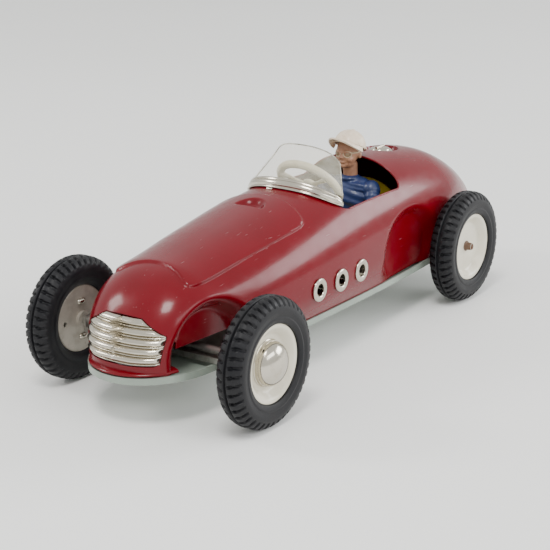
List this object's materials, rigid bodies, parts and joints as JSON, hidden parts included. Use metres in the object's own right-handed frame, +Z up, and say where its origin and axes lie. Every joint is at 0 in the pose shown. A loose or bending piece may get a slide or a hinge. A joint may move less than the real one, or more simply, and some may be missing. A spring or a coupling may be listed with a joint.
{
  "type": "friction tin racing car",
  "caption": "Tin single-seat racing car with an open cockpit and driver, a clear windscreen, a swinging front axle and a friction motor that drives the rear wheels.",
  "frame": {"origin": "on the ground under the middle of the car", "axes": "+Z up, nose towards -Y, the car's left side towards +X"},
  "size_m": [0.1086, 0.269, 0.0846],
  "materials": {
    "red_lacquer": "gloss dark red lacquer on pressed tin",
    "green_lacquer": "pale grey-green lacquer on pressed tin",
    "nickel": "bright nickel plate",
    "celluloid": "clear, slightly yellowed sheet",
    "yellow_lacquer": "mustard yellow lacquer",
    "plain_steel": "plain tinned steel",
    "blue_paint": "satin blue hand paint",
    "skin_paint": "matt tan hand paint",
    "cream_paint": "satin cream hand paint",
    "brass": "plain brass",
    "cream_plastic": "aged cream plastic",
    "rubber": "matt black rubber",
    "cream_lacquer": "gloss cream lacquer",
    "taupe_tin": "worn taupe tin",
    "flywheel_iron": "plain cast metal"
  },
  "bodies": {
    "chassis": {"body_shell": "red_lacquer", "base_plate": "green_lacquer", "radiator_grille": "nickel", "side_eyelets": "nickel", "windscreen": "celluloid", "windscreen_frame": "nickel", "filler_cap": "nickel", "seat_pan": "yellow_lacquer", "column_bracket": "plain_steel", "driver_torso": "blue_paint", "driver_head": "skin_paint", "driver_goggles": "cream_paint", "driver_cap": "cream_paint", "pivot_rivet": "brass", "pivot_spacer": "plain_steel", "motor_plate_left": "plain_steel", "motor_plate_right": "plain_steel", "motor_pillars": "brass"},
    "steering": {"steering_column": "plain_steel", "steering_wheel": "cream_plastic"},
    "front_axle_set": {"front_axle_beam": "plain_steel", "front_axle": "plain_steel"},
    "front_left_wheel": {"front_left_tyre": "rubber", "front_left_outer_disc": "cream_lacquer", "front_left_inner_disc": "taupe_tin", "front_left_hub_cap": "nickel"},
    "front_right_wheel": {"front_right_tyre": "rubber", "front_right_outer_disc": "cream_lacquer", "front_right_inner_disc": "taupe_tin", "front_right_hub_cap": "nickel"},
    "rear_axle_set": {"rear_axle": "plain_steel", "axle_gear": "brass", "axle_collars": "plain_steel", "rear_left_tyre": "rubber", "rear_left_outer_disc": "cream_lacquer", "rear_left_inner_disc": "taupe_tin", "rear_right_tyre": "rubber", "rear_right_outer_disc": "cream_lacquer", "rear_right_inner_disc": "taupe_tin"},
    "layshaft_set": {"layshaft": "plain_steel", "layshaft_pinion": "brass", "layshaft_gear": "brass"},
    "flywheel_set": {"flywheel_shaft": "plain_steel", "flywheel_pinion": "brass", "flywheel_left": "flywheel_iron", "flywheel_right": "flywheel_iron"}
  },
  "joints": [
    {"name": "steering_turn", "type": "hinge", "parent": "chassis", "child": "steering", "pos_m": [0, -0.0014, 0.0639], "axis": [0, 0.766, 0.6428], "continuous": true},
    {"name": "front_axle_steer", "type": "hinge", "parent": "chassis", "child": "front_axle_set", "pos_m": [0, -0.101, 0.025], "axis": [0, 0, 1], "range_deg": [-15, 15]},
    {"name": "front_left_spin", "type": "hinge", "parent": "front_axle_set", "child": "front_left_wheel", "pos_m": [0.0462, -0.101, 0.025], "axis": [1, 0, 0], "continuous": true},
    {"name": "front_right_spin", "type": "hinge", "parent": "front_axle_set", "child": "front_right_wheel", "pos_m": [-0.0462, -0.101, 0.025], "axis": [1, 0, 0], "continuous": true},
    {"name": "rear_axle_spin", "type": "hinge", "parent": "chassis", "child": "rear_axle_set", "pos_m": [0, 0.069, 0.025], "axis": [1, 0, 0], "continuous": true},
    {"name": "layshaft_spin", "type": "hinge", "parent": "chassis", "child": "layshaft_set", "pos_m": [0, 0.06547, 0.03111], "axis": [1, 0, 0], "continuous": true},
    {"name": "flywheel_spin", "type": "hinge", "parent": "chassis", "child": "flywheel_set", "pos_m": [0, 0.06219, 0.0368], "axis": [1, 0, 0], "continuous": true}
  ],
  "couplings": [
    {"joint": "layshaft_spin", "follows": "rear_axle_spin", "ratio": -2.5},
    {"joint": "flywheel_spin", "follows": "rear_axle_spin", "ratio": 5.625}
  ]
}
